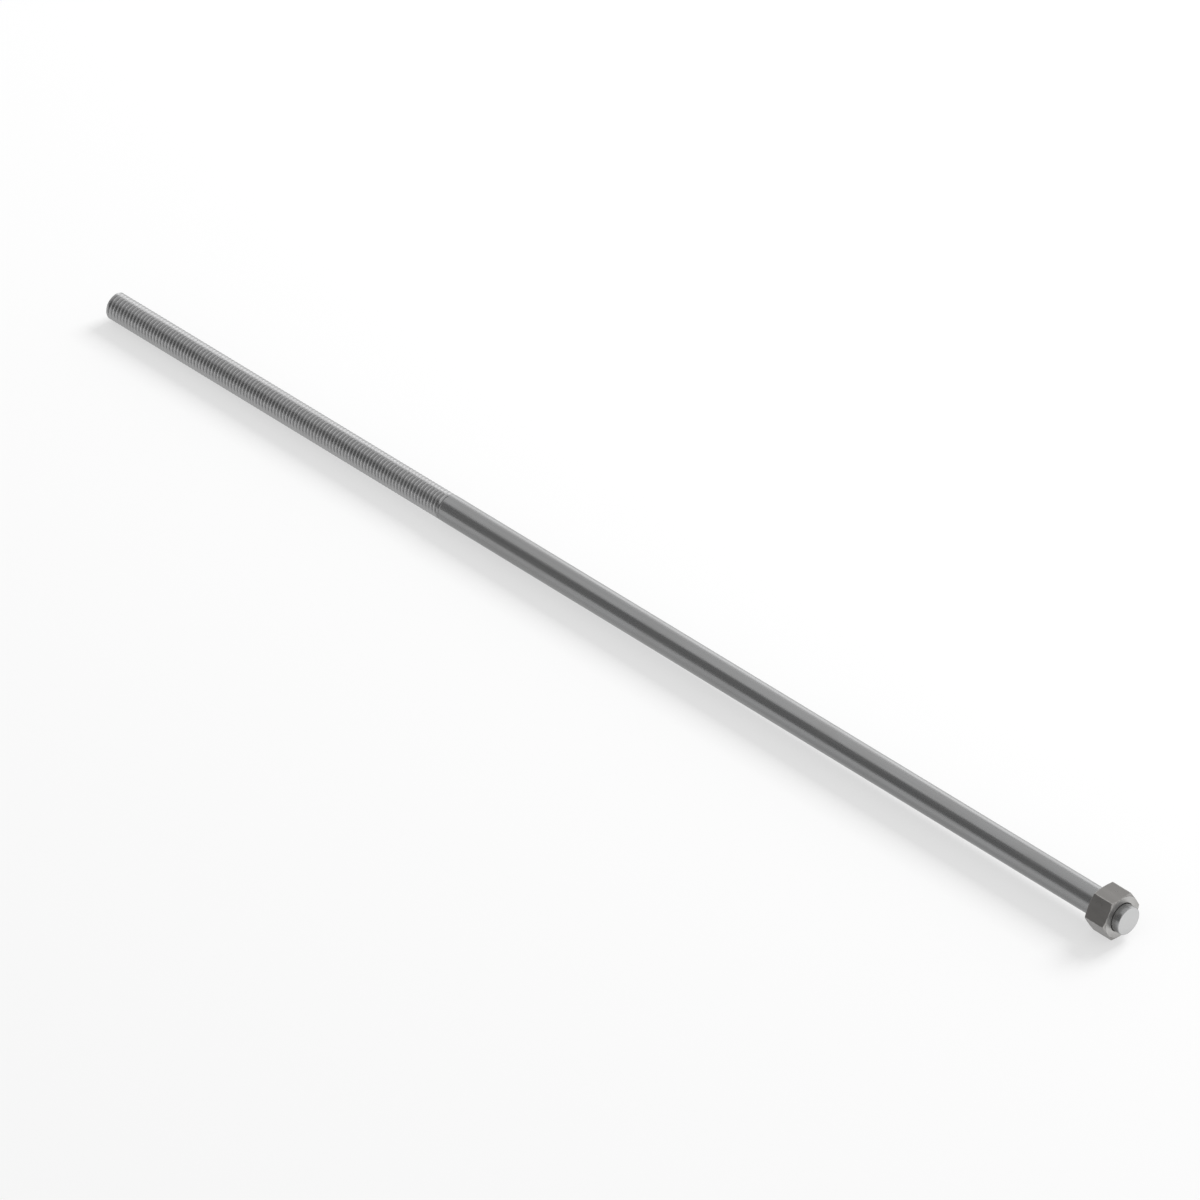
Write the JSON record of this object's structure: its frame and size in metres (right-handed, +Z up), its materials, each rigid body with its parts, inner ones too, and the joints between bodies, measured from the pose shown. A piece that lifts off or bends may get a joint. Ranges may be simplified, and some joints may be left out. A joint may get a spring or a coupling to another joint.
{
  "type": "gang bolt",
  "caption": "Long plain steel bar bolt: threaded at one end, with a hexagon nut fixed as its head just short of the other, to pull a row of parts together.",
  "frame": {"origin": "on the bar's axis, in the plane of the head nut's bearing face", "axes": "+Z up; +X points out through the head nut's end of the bar, and the bar runs from the nut along -X to its threaded tip; as it lies, its axis falls about 0.3 degree towards the tip"},
  "size_m": [0.6096, 0.022, 0.0191],
  "materials": {
    "rod": "bright drawn bar, lightly brushed along its length, with a cut thread",
    "head_nut": "machined steel, satin flats and turned faces"
  },
  "bodies": {
    "root": {"rod": "rod", "head_nut": "head_nut"}
  },
  "joints": []
}
